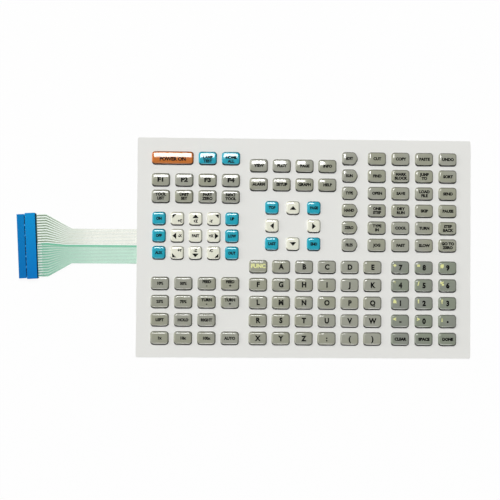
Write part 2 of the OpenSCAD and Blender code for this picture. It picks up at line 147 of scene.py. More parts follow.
# %% [markdown]
# ## Camera, light and floor
# The camera looks straight down from about arm's length, with the small turn and lean of a hand-held
# picture. Light and reflections are set apart, as a product photographer does with lamps and cards. A far
# soft panel beyond the upper edge gives most of the light and a tall one to the left lights the keys' left
# walls, so that the right and lower walls fall into shade. Two cards light nothing and are only mirrored:
# the large one puts a white patch in each key's upper shoulder, widest in the upper left keys and smallest
# in the lower right ones, and the near one draws the thin line along the lower shoulders. The world fills
# in evenly, so that a colour renders about as it is written.

# %% Camera, light and floor
scene = bpy.context.scene
scene.view_settings.view_transform = "Standard"

CAMERA_PLACE = (-83, -23.5, 900)
CAMERA_TURN = (1.35, -1.87, 0.42)
FOCAL_PIXELS = 913.5
FRAME_PIXELS = 500

camera_data = bpy.data.cameras.new("camera")
camera_data.sensor_width = 36
camera_data.lens = FOCAL_PIXELS / FRAME_PIXELS * camera_data.sensor_width
camera_data.clip_start = 0.01
camera = bpy.data.objects.new("camera", camera_data)
camera.location = Vector(CAMERA_PLACE) * MM
camera.rotation_euler = [math.radians(a) for a in CAMERA_TURN]
scene.collection.objects.link(camera)
scene.camera = camera


def panel(name, middle, size, brightness, facing=(0, 0, -1), lights=True, mirrored=True):
    """A soft panel in millimetres; its brightness is the value that a mirror would show of it."""
    data = bpy.data.lights.new(name, "AREA")
    data.shape = "RECTANGLE"
    data.size = size[0] * MM
    data.size_y = size[1] * MM
    data.energy = brightness * math.pi * data.size * data.size_y
    lamp = bpy.data.objects.new(name, data)
    lamp.location = Vector(middle) * MM
    lamp.rotation_euler = Vector(facing).to_track_quat("-Z", "Y").to_euler()
    lamp.visible_diffuse = lights
    lamp.visible_glossy = mirrored
    scene.collection.objects.link(lamp)


panel("main_panel", (450, 4500, 7200), (3600, 2700), 18.8, facing=(-0.45, -4.5, -7.2), mirrored=False)
panel("side_panel", (-6000, 800, 2200), (7000, 3800), 2, facing=(6, -0.8, -2.2))
panel("key_card", (-452, 1055, 3000), (1495, 1090), 17, lights=False)
panel("line_card", (-50, -800, 1000), (1100, 700), 6, lights=False)

WORLD_LEVEL = 0.14
world = bpy.data.worlds.new("studio")
world.use_nodes = True
world.node_tree.nodes["Background"].inputs["Color"].default_value = (WORLD_LEVEL, WORLD_LEVEL, WORLD_LEVEL, 1)
scene.world = world


def new_material(name):
    """A material with an empty node tree and its output node."""
    material = bpy.data.materials.new(name)
    material.use_nodes = True
    material.node_tree.nodes.clear()
    output = material.node_tree.nodes.new("ShaderNodeOutputMaterial")
    return material, material.node_tree, output


def math_node(tree, operation):
    node = tree.nodes.new("ShaderNodeMath")
    node.operation = operation
    return node


FLOOR_GLOW = 0.95


def floor_material():
    """White to the eye and in reflections, with enough plain diffuse left to take a shadow."""
    material, tree, output = new_material("floor_white")
    diffuse = tree.nodes.new("ShaderNodeBsdfDiffuse")
    diffuse.inputs["Color"].default_value = (0.9, 0.9, 0.9, 1)
    glow = tree.nodes.new("ShaderNodeEmission")
    path = tree.nodes.new("ShaderNodeLightPath")
    seen = math_node(tree, "MAXIMUM")
    seen_through = math_node(tree, "MAXIMUM")
    share = math_node(tree, "MULTIPLY")
    share.inputs[1].default_value = FLOOR_GLOW
    mix = tree.nodes.new("ShaderNodeMixShader")
    link = tree.links.new
    link(path.outputs["Is Camera Ray"], seen.inputs[0])
    link(path.outputs["Is Glossy Ray"], seen.inputs[1])
    link(seen.outputs[0], seen_through.inputs[0])
    link(path.outputs["Is Transmission Ray"], seen_through.inputs[1])
    link(seen_through.outputs[0], share.inputs[0])
    link(share.outputs[0], mix.inputs["Fac"])
    link(diffuse.outputs[0], mix.inputs[1])
    link(glow.outputs[0], mix.inputs[2])
    link(mix.outputs[0], output.inputs["Surface"])
    return material


# The floor ends far off in a low rim, so that low views stay white up to the horizon
FLOOR_HALF = 12
FLOOR_DROP = 0.02 * MM
RIM_HEIGHT = 0.9
floor_mesh = bpy.data.meshes.new("floor")
floor_mesh.from_pydata(
    [(x * FLOOR_HALF, y * FLOOR_HALF, z) for z in (-FLOOR_DROP, RIM_HEIGHT)
     for x, y in ((-1, -1), (1, -1), (1, 1), (-1, 1))],
    [], [(0, 1, 2, 3)] + [(i, 4 + i, 4 + (i + 1) % 4, (i + 1) % 4) for i in range(4)])
floor_mesh.materials.append(floor_material())
floor = bpy.data.objects.new("floor", floor_mesh)
scene.collection.objects.link(floor)
print(f"camera: {camera_data.lens:.1f} mm lens, {CAMERA_PLACE[2]} mm up")

# %% [markdown]
# ## Finishes
# Printed and moulded plastic is never one flat colour. Each finish here mixes two close shades with a fine
# noise in Object coordinates, so that the pattern stays put on the piece, and lets the same noise stir the
# roughness and a shallow bump. Glossy keys add a clear coat. Round the foot their ink carries painted light
# and shade, as a lamp from the upper left would give: painted shade darkest on the near side, dark on the
# right and a little dark on the far side, and painted light on the left. Three masks from the surface's
# normal say which side a place is on, and one from its height keeps them off the key's top, which alone
# carries the clear coat.

# %% Finishes


def linear(red, green, blue):
    """A colour as read off a screen, 0 to 255, made linear for the shader."""
    def channel(value):
        value /= 255
        return value / 12.92 if value <= 0.04045 else ((value + 0.055) / 1.055) ** 2.4
    return (channel(red), channel(green), channel(blue), 1)


def shade(colour, factor):
    return tuple(c * factor for c in colour[:3]) + (1,)


def ramp(tree, start, end, low=0.0, high=1.0):
    """A node that runs from low at start to high at end, and stays level beyond."""
    node = tree.nodes.new("ShaderNodeMapRange")
    for socket, value in zip(("From Min", "From Max", "To Min", "To Max"), (start, end, low, high)):
        node.inputs[socket].default_value = value
    return node


ROUGHNESS_SPREAD = 0.15
# Painted light and shade on a key's walls: the heights over which it fades out towards the top, and its
# factor on the left, right and far walls
PAINTED_SHADE_FADE = (1.77, 1.96)
PAINTED_LIGHT_LEFT = 1.25
PAINTED_SHADE_RIGHT = 0.42
PAINTED_SHADE_FAR = 0.5
DRIFT_GRAIN = 30


def plastic(name, colour, roughness, grain=0.6, contrast=0.05, bump=0.02, coat=0.0, alpha=1.0, metal=0.0,
            gloss=0.5, foot=1.0, drift=None):
    """A plastic, ink or metal finish.

    grain is its mottle in millimetres, foot the painted shade at a key's near foot, drift a second colour
    that comes and goes from key to key.
    """
    material, tree, output = new_material(name)
    shader = tree.nodes.new("ShaderNodeBsdfPrincipled")
    place = tree.nodes.new("ShaderNodeTexCoord")
    noise = tree.nodes.new("ShaderNodeTexNoise")
    noise.inputs["Scale"].default_value = 1 / (grain * MM)
    noise.inputs["Detail"].default_value = 3
    mix = tree.nodes.new("ShaderNodeMix")
    mix.data_type = "RGBA"
    mix.inputs["A"].default_value = shade(colour, 1 - contrast)
    mix.inputs["B"].default_value = shade(colour, 1 + contrast)
    spread = ramp(tree, 0, 1, roughness * (1 - ROUGHNESS_SPREAD), roughness * (1 + ROUGHNESS_SPREAD))
    relief = tree.nodes.new("ShaderNodeBump")
    relief.inputs["Strength"].default_value = bump
    relief.inputs["Distance"].default_value = 0.05 * MM
    link = tree.links.new
    link(place.outputs["Object"], noise.inputs["Vector"])
    link(noise.outputs["Fac"], mix.inputs["Factor"])
    link(noise.outputs["Fac"], spread.inputs["Value"])
    link(noise.outputs["Fac"], relief.inputs["Height"])
    colour_out = mix.outputs["Result"]
    if drift:
        patches = tree.nodes.new("ShaderNodeTexNoise")
        patches.inputs["Scale"].default_value = 1 / (DRIFT_GRAIN * MM)
        patches.inputs["Detail"].default_value = 0
        sharpen = ramp(tree, 0.4, 0.6)
        wander = tree.nodes.new("ShaderNodeMix")
        wander.data_type = "RGBA"
        wander.inputs["B"].default_value = drift
        link(place.outputs["Object"], patches.inputs["Vector"])
        link(patches.outputs["Fac"], sharpen.inputs["Value"])
        link(sharpen.outputs["Result"], wander.inputs["Factor"])
        link(colour_out, wander.inputs["A"])
        colour_out = wander.outputs["Result"]
    # Painted shade on the near, right and far walls and painted light on the left wall, chosen by the
    # normal's direction and fading out towards the key's top
    if foot < 1:
        axes = tree.nodes.new("ShaderNodeSeparateXYZ")
        rise = ramp(tree, (face_z + PAINTED_SHADE_FADE[0]) * MM, (face_z + PAINTED_SHADE_FADE[1]) * MM)
        facing = tree.nodes.new("ShaderNodeSeparateXYZ")
        across = ramp(tree, -0.6, 0.6, PAINTED_LIGHT_LEFT, PAINTED_SHADE_RIGHT)
        near_side = ramp(tree, -0.45, -0.05, foot, 1)
        far_side = ramp(tree, 0.3, 0.7, 1, PAINTED_SHADE_FAR)
        along = math_node(tree, "MULTIPLY")
        sides = math_node(tree, "MULTIPLY")
        level = tree.nodes.new("ShaderNodeMix")
        level.inputs["B"].default_value = 1
        painted_shade = tree.nodes.new("ShaderNodeMix")
        painted_shade.data_type = "RGBA"
        painted_shade.blend_type = "MULTIPLY"
        painted_shade.clamp_result = True
        painted_shade.inputs["Factor"].default_value = 1
        link(place.outputs["Object"], axes.inputs[0])
        link(axes.outputs["Z"], rise.inputs["Value"])
        link(place.outputs["Normal"], facing.inputs[0])
        link(facing.outputs["X"], across.inputs["Value"])
        link(facing.outputs["Y"], near_side.inputs["Value"])
        link(facing.outputs["Y"], far_side.inputs["Value"])
        link(near_side.outputs["Result"], along.inputs[0])
        link(far_side.outputs["Result"], along.inputs[1])
        link(across.outputs["Result"], sides.inputs[0])
        link(along.outputs[0], sides.inputs[1])
        link(rise.outputs["Result"], level.inputs["Factor"])
        link(sides.outputs[0], level.inputs["A"])
        link(colour_out, painted_shade.inputs["A"])
        link(level.outputs["Result"], painted_shade.inputs["B"])
        colour_out = painted_shade.outputs["Result"]
        coated = math_node(tree, "MULTIPLY")
        coated.inputs[1].default_value = coat
        link(rise.outputs["Result"], coated.inputs[0])
        link(coated.outputs[0], shader.inputs["Coat Weight"])
    else:
        shader.inputs["Coat Weight"].default_value = coat
    link(colour_out, shader.inputs["Base Color"])
    link(spread.outputs["Result"], shader.inputs["Roughness"])
    link(relief.outputs["Normal"], shader.inputs["Normal"])
    shader.inputs["Specular IOR Level"].default_value = gloss
    shader.inputs["Coat Roughness"].default_value = 0.02
    shader.inputs["Alpha"].default_value = alpha
    shader.inputs["Metallic"].default_value = metal
    link(shader.outputs[0], output.inputs["Surface"])
    return material


SHEET_COLOUR = linear(235, 235, 231)
GREY_COLOUR = linear(161, 162, 144)
GREY_DRIFT = linear(163, 164, 151)
NUMBER_COLOUR = linear(140, 147, 131)
NUMBER_DRIFT = linear(142, 146, 136)
CYAN_COLOUR = linear(38, 168, 190)
ORANGE_COLOUR = linear(202, 116, 48)
CREAM_COLOUR = linear(238, 238, 220)

sheet_finish = plastic("sheet_film", SHEET_COLOUR, 0.62, grain=0.5, contrast=0.015, bump=0.08, gloss=0.1)
# foot is the strength of the painted shade on a key's near wall
KEY_GLOSS = dict(roughness=0.09, grain=0.8, contrast=0.04, bump=0.012, coat=0.85, gloss=0.3, foot=0.08)
grey_finish = plastic("grey_key_gloss", GREY_COLOUR, drift=GREY_DRIFT, **KEY_GLOSS)
number_finish = plastic("number_key_gloss", NUMBER_COLOUR, drift=NUMBER_DRIFT, **KEY_GLOSS)
cyan_finish = plastic("cyan_key_gloss", CYAN_COLOUR, **KEY_GLOSS)
orange_finish = plastic("orange_key_gloss", ORANGE_COLOUR, **KEY_GLOSS)
cream_finish = plastic("cream_key_gloss", CREAM_COLOUR, **KEY_GLOSS)
legend_finish = plastic("legend_black", linear(10, 11, 9), 0.5, contrast=0.1, gloss=0.05)
mark_finish = plastic("legend_yellow", linear(228, 230, 158), 0.4, contrast=0.05, gloss=0.2)
print(f"finishes: {len(bpy.data.materials)} so far")

# %% [markdown]
# ## One key's form
# A formed key has a wall that leans in a little, a shoulder that turns quickly at first and then more and
# more gently, and a top that is crowned like a pillow. The pillow is slight, but it decides how much of the
# lamp each key mirrors, so it has to be there. The form is a stack of loops: every loop is the key's
# outline moved in by some distance, and one function gives the film's height at a place. The legends use
# that same function later, so they lie exactly on the surface.

# %% Key form
CORNER_RADIUS = 3.2
POINT_DEPTH = 3.4
POINT_RADIUS = 4.3
ARC_STEPS = 4
EDGE_STEPS = 4
WALL_LEAN = 0.6
SHOULDER = 2.4
SHOULDER_RISE = 0.65
SHOULDER_POWER = 4.2
PILLOW = 0.18
PILLOW_SMALL = 0.16
LOOP_INSETS = [0, 0.3, WALL_LEAN, 0.72, 0.86, 1.02, 1.2, 1.42, 1.7, 2.05, 2.5, WALL_LEAN + SHOULDER,
               3.7, 4.5, 5.4]


def key_height(key, x, y, inset):
    """Height of the film over the sheet at a place about the key's middle, inset in from its foot."""
    across = PILLOW_SMALL if key.w < SQUARE_MAX else PILLOW
    top = key_top - across * (2 * x / key.w) ** 2 - PILLOW * (2 * y / key.h) ** 2
    if inset < WALL_LEAN:
        return (top - SHOULDER_RISE) * max(0, inset) / WALL_LEAN
    rest = max(0, 1 - (inset - WALL_LEAN) / SHOULDER)
    return top - SHOULDER_RISE * rest ** SHOULDER_POWER


def outline_corners(key):
    """Corners of a key's sharp outline about its own middle; a mode key has a point on its right."""
    w, h = key.w / 2, key.h / 2
    if key in mode_keys:
        return [(-w, -h), (w - POINT_DEPTH, -h), (w, 0), (w - POINT_DEPTH, h), (-w, h)]
    return [(-w, -h), (w, -h), (w, h), (-w, h)]


def rounded_loop(corners, inset):
    """The outline moved in by inset, with round corners and each side cut into a few steps."""
    points = [Vector(c) for c in corners]
    count = len(points)
    arcs = []
    for i, corner in enumerate(points):
        # The three corners of a mode key's point are rounder than its others
        round_end = count > 4 and corner.x > 0
        radius = max((POINT_RADIUS if round_end else CORNER_RADIUS) - inset, 0.15)
        before = (corner - points[i - 1]).normalized()
        after = (points[(i + 1) % count] - corner).normalized()
        normal_in = Vector((-before.y, before.x))
        normal_out = Vector((-after.y, after.x))
        lean = (normal_in + normal_out) / (1 + normal_in.dot(normal_out))
        centre = corner + lean * (inset + radius)
        start = math.atan2(-normal_in.y, -normal_in.x)
        sweep = normal_in.angle_signed(normal_out, 0) * -1
        arcs.append([centre + radius * Vector((math.cos(start + sweep * s / ARC_STEPS),
                                               math.sin(start + sweep * s / ARC_STEPS)))
                     for s in range(ARC_STEPS + 1)])
    loop = []
    for i, arc in enumerate(arcs):
        loop += arc
        end, begin = arc[-1], arcs[(i + 1) % count][0]
        loop += [end.lerp(begin, s / EDGE_STEPS) for s in range(1, EDGE_STEPS)]
    return loop


def key_mesh(name, key):
    """The film of one key about its own middle, its foot at z = 0, with a closed crown."""
    corners = outline_corners(key)
    loops = [rounded_loop(corners, inset) for inset in LOOP_INSETS]
    size = len(loops[0])
    verts = [(p.x, p.y, key_height(key, p.x, p.y, inset))
             for inset, loop in zip(LOOP_INSETS, loops) for p in loop]
    faces = []
    for ring in range(len(loops) - 1):
        for i in range(size):
            a, b = ring * size + i, ring * size + (i + 1) % size
            faces.append((a, b, b + size, a + size))
    # The last loop is closed by a spine along the key's long middle line
    reach = max(0, key.w / 2 - key.h / 2)
    spine = len(verts)
    last = (len(loops) - 1) * size
    for p in loops[-1]:
        x = max(-reach, min(reach, p.x))
        verts.append((x, 0, key_height(key, x, 0, key.h / 2)))
    for i in range(size):
        j = (i + 1) % size
        faces.append((last + i, last + j, spine + j, spine + i))
    mesh = bpy.data.meshes.new(name)
    mesh.from_pydata([Vector(v) * MM for v in verts], [], faces)
    bm = bmesh.new()
    bm.from_mesh(mesh)
    bmesh.ops.remove_doubles(bm, verts=bm.verts, dist=0.002 * MM)
    bmesh.ops.recalc_face_normals(bm, faces=bm.faces)
    for face in bm.faces:
        face.smooth = True
    bm.to_mesh(mesh)
    bm.free()
    return mesh


key_forms = {kind: key_mesh(f"{kind}_key_form", some[0]) for kind, some in
             (("plain", plain_keys), ("square", square_keys), ("bar", bar_keys), ("mode", mode_keys))}
print("key forms:", {kind: len(mesh.polygons) for kind, mesh in key_forms.items()})

# %% [markdown]
# ## Keys on the sheet
# A block of keys is one form set at many places, which is what Geometry Nodes are for. The tree puts the
# form on the points of a bare mesh, makes the copies real and gives them their finish. The result is turned
# into a plain mesh, so that nothing live is left on the piece.

# %% Keys on the sheet


def keys_tree():
    """Instances of one form on the points of a mesh, made real, with a finish."""
    tree = bpy.data.node_groups.new("keys_on_sheet", "GeometryNodeTree")
    tree.interface.new_socket("Geometry", in_out="INPUT", socket_type="NodeSocketGeometry")
    tree.interface.new_socket("Form", in_out="INPUT", socket_type="NodeSocketObject")
    tree.interface.new_socket("Finish", in_out="INPUT", socket_type="NodeSocketMaterial")
    tree.interface.new_socket("Geometry", in_out="OUTPUT", socket_type="NodeSocketGeometry")
    add = tree.nodes.new
    inputs, outputs = add("NodeGroupInput"), add("NodeGroupOutput")
    form = add("GeometryNodeObjectInfo")
    place = add("GeometryNodeInstanceOnPoints")
    real = add("GeometryNodeRealizeInstances")
    finish = add("GeometryNodeSetMaterial")
    link = tree.links.new
    link(inputs.outputs["Form"], form.inputs["Object"])
    link(inputs.outputs["Geometry"], place.inputs["Points"])
    link(form.outputs["Geometry"], place.inputs["Instance"])
    link(place.outputs["Instances"], real.inputs["Geometry"])
    link(real.outputs["Geometry"], finish.inputs["Geometry"])
    link(inputs.outputs["Finish"], finish.inputs["Material"])
    link(finish.outputs["Geometry"], outputs.inputs["Geometry"])
    return tree


def socket_id(tree, name):
    return next(item.identifier for item in tree.interface.items_tree
                if item.name == name and item.in_out == "INPUT")


def plain_copy(obj, name):
    """The object's evaluated mesh as a new plain object at the origin."""
    depsgraph = bpy.context.evaluated_depsgraph_get()
    mesh = bpy.data.meshes.new_from_object(obj.evaluated_get(depsgraph))
    mesh.name = name
    copy = bpy.data.objects.new(name, mesh)
    scene.collection.objects.link(copy)
    return copy


key_tree = keys_tree()


def key_block(name, some_keys, kind, finish):
    """One plain mesh with a key of this kind at each place."""
    points = bpy.data.meshes.new(name + "_places")
    points.from_pydata([Vector((k.x, k.y, face_z)) * MM for k in some_keys], [], [])
    carrier = bpy.data.objects.new(name + "_carrier", points)
    form = bpy.data.objects.new(name + "_form", key_forms[kind])
    scene.collection.objects.link(carrier)
    scene.collection.objects.link(form)
    modifier = carrier.modifiers.new("keys", "NODES")
    modifier.node_group = key_tree
    modifier[socket_id(key_tree, "Form")] = form
    modifier[socket_id(key_tree, "Finish")] = finish
    block = plain_copy(carrier, name)
    bpy.data.objects.remove(carrier)
    bpy.data.objects.remove(form)
    return block


grey_keys = function_keys + override_keys + display_keys + edit_keys + letter_keys
blocks = [
    key_block("grey_keys", grey_keys, "plain", grey_finish),
    key_block("mode_keys", mode_keys, "mode", grey_finish),
    key_block("number_keys", number_keys, "plain", number_finish),
    key_block("cyan_keys", start_keys, "plain", cyan_finish),
    key_block("cyan_square_keys", jog_sides + cursor_corners, "square", cyan_finish),
    key_block("cream_keys", jog_arrows + cursor_arrows, "square", cream_finish),
    key_block("orange_bar_key", bar_keys, "bar", orange_finish)]
print("key blocks:", {b.name: len(b.data.polygons) for b in blocks})

# %% [markdown]
# ## The front sheet
# The sheet itself is a plate with round corners and a fine rolled edge. It is made as loops too, from the
# underside up over the edge, and closed with one flat face on each side.

# %% Front sheet
SHEET_CORNER = 1.5
EDGE_ROLL = 0.1
SHEET_ARC_STEPS = 8


def sheet_loop(inset):
    """A rounded rectangle with the sheet's outline, moved in by inset."""
    w = sheet_high.x - SHEET_CORNER
    h = sheet_high.y - SHEET_CORNER
    radius = SHEET_CORNER - inset
    loop = []
    for quarter, (x, y) in enumerate(((w, h), (-w, h), (-w, -h), (w, -h))):
        for step in range(SHEET_ARC_STEPS + 1):
            turn = math.pi / 2 * (quarter + step / SHEET_ARC_STEPS)
            loop.append((x + radius * math.cos(turn), y + radius * math.sin(turn)))
    return loop


def plate(name, levels, finish):
    """A closed plate from (inset, z) levels, lowest first, with flat ends."""
    loops = [[(x, y, z) for x, y in sheet_loop(inset)] for inset, z in levels]
    size = len(loops[0])
    verts = [Vector(v) * MM for loop in loops for v in loop]
    faces = [tuple(reversed(range(size)))]
    for ring in range(len(loops) - 1):
        for i in range(size):
            a, b = ring * size + i, ring * size + (i + 1) % size
            faces.append((a, b, b + size, a + size))
    faces.append(tuple(range(len(verts) - size, len(verts))))
    mesh = bpy.data.meshes.new(name)
    mesh.from_pydata(verts, [], faces)
    mesh.materials.append(finish)
    obj = bpy.data.objects.new(name, mesh)
    scene.collection.objects.link(obj)
    return obj


roll = [(EDGE_ROLL * (1 - math.sin(a)), face_z - EDGE_ROLL * (1 - math.cos(a)))
        for a in (math.pi / 2, math.pi / 3, math.pi / 6, 0)]
front_sheet = plate("front_sheet", [(0, face_z - OVERLAY_THICKNESS)] + roll, sheet_finish)
for piece in [front_sheet] + blocks:
    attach(piece, "root")
    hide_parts("graphic_overlay")
print("front sheet:", len(front_sheet.data.polygons), "faces")

# %% [markdown]
# ## Legends
# A legend is ink on the key's top. Each one starts as text or as a flat outline, becomes a mesh, is cut
# fine enough to bend, and is then laid on the crown with the same height function that made the key. The
# words are plain ones that any machine panel could carry.

# %% Legends
INK_THICKNESS = 0.02
INK_LIFT = 0.02
INK_STEP = 1.2
LETTER_SIZE = 7.0
WORD_SIZE = 3.8
LETTER_WIDTH = 0.92
WORD_WIDTH = 1.0
SMALL_KEY_WIDTH = 0.86


def text_mesh(words, size, bold, width):
    """A closed flat mesh of some words about their middle, in millimetres, set to a width."""
    curve = bpy.data.curves.new("legend", "FONT")
    curve.body = words
    curve.size = size
    curve.align_x = "CENTER"
    curve.align_y = "CENTER"
    curve.resolution_u = 3
    curve.offset = bold
    curve.extrude = INK_THICKNESS / 2
    obj = bpy.data.objects.new("legend", curve)
    scene.collection.objects.link(obj)
    depsgraph = bpy.context.evaluated_depsgraph_get()
    mesh = bpy.data.meshes.new_from_object(obj.evaluated_get(depsgraph))
    bpy.data.objects.remove(obj)
    bpy.data.curves.remove(curve)
    mesh.transform(Matrix.Diagonal((width, 1, 1, 1)))
    return mesh


ARROW_LENGTH = 3.7
ARROW_WIDTH = 6.4
CORNER_ARROW = 4.0


def arrow_mesh(x, y):
    """A flat arrowhead that points along a side (x or y is 0) or into a corner."""
    if x and y:
        corners = [Vector((cx, cy, 0)) * CORNER_ARROW / 2 for cx, cy in ((x, y), (-x, y), (x, -y))]
    else:
        ahead = Vector((x, y, 0)) * ARROW_LENGTH / 2
        across = Vector((-y, x, 0)) * ARROW_WIDTH / 2
        corners = [ahead, across - ahead, -across - ahead]
    up = Vector((0, 0, INK_THICKNESS / 2))
    mesh = bpy.data.meshes.new("arrow")
    mesh.from_pydata([c - up for c in corners] + [c + up for c in corners], [],
                     [(2, 1, 0), (3, 4, 5), (0, 1, 4, 3), (1, 2, 5, 4), (2, 0, 3, 5)])
    return mesh


def edge_distance(key, x, y):
    """Distance in from a key's foot at a place about its middle."""
    return min(key.w / 2 - abs(x), key.h / 2 - abs(y))


def lay_on_key(bm, mesh, key, dx, dy):
    """Adds a flat mesh to bm, moved to its place and bent onto the key's crown."""
    piece = bmesh.new()
    piece.from_mesh(mesh)
    bpy.data.meshes.remove(mesh)
    bmesh.ops.triangulate(piece, faces=piece.faces)
    for _ in range(2):
        long_edges = [e for e in piece.edges if e.calc_length() > INK_STEP]
        if long_edges:
            bmesh.ops.subdivide_edges(piece, edges=long_edges, cuts=1)
            bmesh.ops.triangulate(piece, faces=piece.faces)
    bmesh.ops.remove_doubles(piece, verts=piece.verts, dist=0.001)
    for vert in piece.verts:
        x, y = vert.co.x + dx, vert.co.y + dy
        z = face_z + key_height(key, x, y, edge_distance(key, x, y)) + INK_LIFT + vert.co.z
        vert.co = Vector((key.x + x, key.y + y, z)) * MM
    bmesh.ops.recalc_face_normals(piece, faces=piece.faces)
    done = bpy.data.meshes.new("laid")
    piece.to_mesh(done)
    piece.free()
    bm.from_mesh(done)
    bpy.data.meshes.remove(done)


dark_ink = bmesh.new()
yellow_ink = bmesh.new()


def write_block(some_keys, words, size, dy=0.0, bold=0.25, ink=None, dx=0.0, width=WORD_WIDTH):
    for key, word in zip(some_keys, words):
        if word:
            lay_on_key(ink or dark_ink, text_mesh(word, size, bold, width), key, dx, dy)


letters = [""] + list("ABCDEFGHIJKLMNOPQRSTUVWXYZ") + [":", "(", ")"]
write_block(letter_keys, letters, LETTER_SIZE, bold=0.36, width=LETTER_WIDTH)
write_block(letter_keys, ["FUNC"], 5.4, dy=0.6, bold=0.3, ink=yellow_ink)
write_block(number_keys, list("789456123-0"), LETTER_SIZE, bold=0.4, width=LETTER_WIDTH)
write_block(number_keys[11:], ["."], 11, dy=2.4, bold=0.4)
write_block(number_keys[12:], ["CLEAR", "SPACE", "DONE"], WORD_SIZE, bold=0.3)
write_block(number_keys, list("+=#*/%&!?<>;"), 4.8, dx=-5.6, dy=2.0, ink=yellow_ink, bold=0.35)
write_block(function_keys, ["F1", "F2", "F3", "F4"], 5.6, bold=0.35, width=1.25)
write_block(function_keys[4:], ["TOOL\nLIST", "UNIT\nSET", "PART\nZERO", "NEXT\nTOOL"], WORD_SIZE)
write_block(bar_keys, ["POWER ON"], 4.8, dy=-1.2)
write_block(start_keys, ["LAMP\nTEST", "HOME\nALL"], WORD_SIZE, dy=-1)
write_block(override_keys, ["10%", "50%", "FEED\n-", "FEED\n+", "25%", "75%", "TURN\n-", "TURN\n+",
                            "LEFT", "HOLD", "RIGHT", "1x", "10x", "100x", "AUTO"], WORD_SIZE)
write_block(display_keys, ["VIEW", "PLOT", "PAGE", "INFO", "ALARM", "SETUP", "GRAPH", "HELP"], WORD_SIZE)
write_block(edit_keys, ["CUT", "COPY", "PASTE", "UNDO", "FIND", "MARK\nBLOCK", "JUMP\nTO", "SORT",
                        "OPEN", "SAVE", "LOAD\nFILE", "SEND", "ONE\nSTEP", "DRY\nRUN", "SKIP", "PAUSE",
                        "TYPE\nIN", "COOL", "TURN", "STEP\nBACK", "JOG", "FAST", "SLOW", "GO TO\nZERO"],
            WORD_SIZE)
write_block(mode_keys, ["EDIT", "RUN", "TYPE", "HAND", "ZERO", "FILES"], WORD_SIZE, dx=-1,
            width=SMALL_KEY_WIDTH)
write_block(jog_sides, ["ON", "UP", "OFF", "LOW", "AUX", "OUT"], WORD_SIZE, width=SMALL_KEY_WIDTH)
write_block(cursor_corners, ["TOP", "PAGE", "LAST", "END"], WORD_SIZE, width=SMALL_KEY_WIDTH)
# On the jog pad an arrow stands on the side that it points to, with its axis opposite
JOG_AXIS_IN = (2.6, 2.4)
JOG_ARROW_OUT = (2.8, 2.4)
jog_ways = [(x, y) for y in (1, 0, -1) for x in (-1, 0, 1)]
jog_axes = ["+C", "+Z", "-Y", "-X", "FAST", "+X", "+Y", "-Z", "-C"]
for key, (x, y), axis in zip(jog_arrows, jog_ways, jog_axes):
    write_block([key], [axis], WORD_SIZE, dx=-JOG_AXIS_IN[0] * x, dy=-JOG_AXIS_IN[1] * y,
                width=SMALL_KEY_WIDTH)
    if (x, y) != (0, 0):
        lay_on_key(dark_ink, arrow_mesh(x, y), key, JOG_ARROW_OUT[0] * x, JOG_ARROW_OUT[1] * y)
for key, (x, y) in zip(cursor_arrows, ((0, 1), (-1, 0), (1, 0), (0, -1))):
    lay_on_key(dark_ink, arrow_mesh(x, y), key, 0, 0)


def ink_piece(bm, name, finish):
    mesh = bpy.data.meshes.new(name)
    bm.to_mesh(mesh)
    bm.free()
    mesh.materials.append(finish)
    for face in mesh.polygons:
        face.material_index = 0
    obj = bpy.data.objects.new(name, mesh)
    scene.collection.objects.link(obj)
    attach(obj, "root")
    return obj


legends = ink_piece(dark_ink, "dark_legends", legend_finish)
marks = ink_piece(yellow_ink, "yellow_legends", mark_finish)
print("legends:", len(legends.data.polygons), "and", len(marks.data.polygons), "faces")

# %% [markdown]
# ## The tail's films and inks
# The tail's solids are already right: thin films that rise gently to the connector, with printed tracks and
# a coat on each half. The films only need finishes. Tracks and coats get copies that are a hair fuller or
# thinner, because faces that lie exactly in each other render in patches. The tracks look dark where the
# bare film shows them beside the connector and pale under the coat further on, so their ink fades along X.
# The green coat lies thicker in a band along the split between the halves, and the split's line is a
# straight run in the neck and a slope in the flare.

# %% Tail finishes


def node_of(tree, kind):
    return next(n for n in tree.nodes if n.type == kind)


def faded_plastic(name, near, far, axis, start, end, **finish):
    """A finish whose colour runs along an axis from near at start to far at end, in millimetres."""
    material = plastic(name, near, **finish)
    tree = material.node_tree
    shader = node_of(tree, "BSDF_PRINCIPLED")
    near_colour = node_of(tree, "MIX")
    far_colour = tree.nodes.new("ShaderNodeMix")
    far_colour.data_type = "RGBA"
    contrast = finish.get("contrast", 0.05)
    far_colour.inputs["A"].default_value = shade(far, 1 - contrast)
    far_colour.inputs["B"].default_value = shade(far, 1 + contrast)
    axes = tree.nodes.new("ShaderNodeSeparateXYZ")
    along = ramp(tree, start * MM, end * MM)
    run = tree.nodes.new("ShaderNodeMix")
    run.data_type = "RGBA"
    link = tree.links.new
    link(node_of(tree, "TEX_COORD").outputs["Object"], axes.inputs[0])
    link(axes.outputs[axis], along.inputs["Value"])
    link(node_of(tree, "TEX_NOISE").outputs["Fac"], far_colour.inputs["Factor"])
    link(along.outputs["Result"], run.inputs["Factor"])
    link(near_colour.outputs["Result"], run.inputs["A"])
    link(far_colour.outputs["Result"], run.inputs["B"])
    link(run.outputs["Result"], shader.inputs["Base Color"])
    return material


def dress(node, finish):
    """Gives a node of the frame its finish."""
    mesh = nodes[node].data
    mesh.materials.clear()
    mesh.materials.append(finish)


TRACK_SWELL = 0.012
COAT_SWELL = -0.005


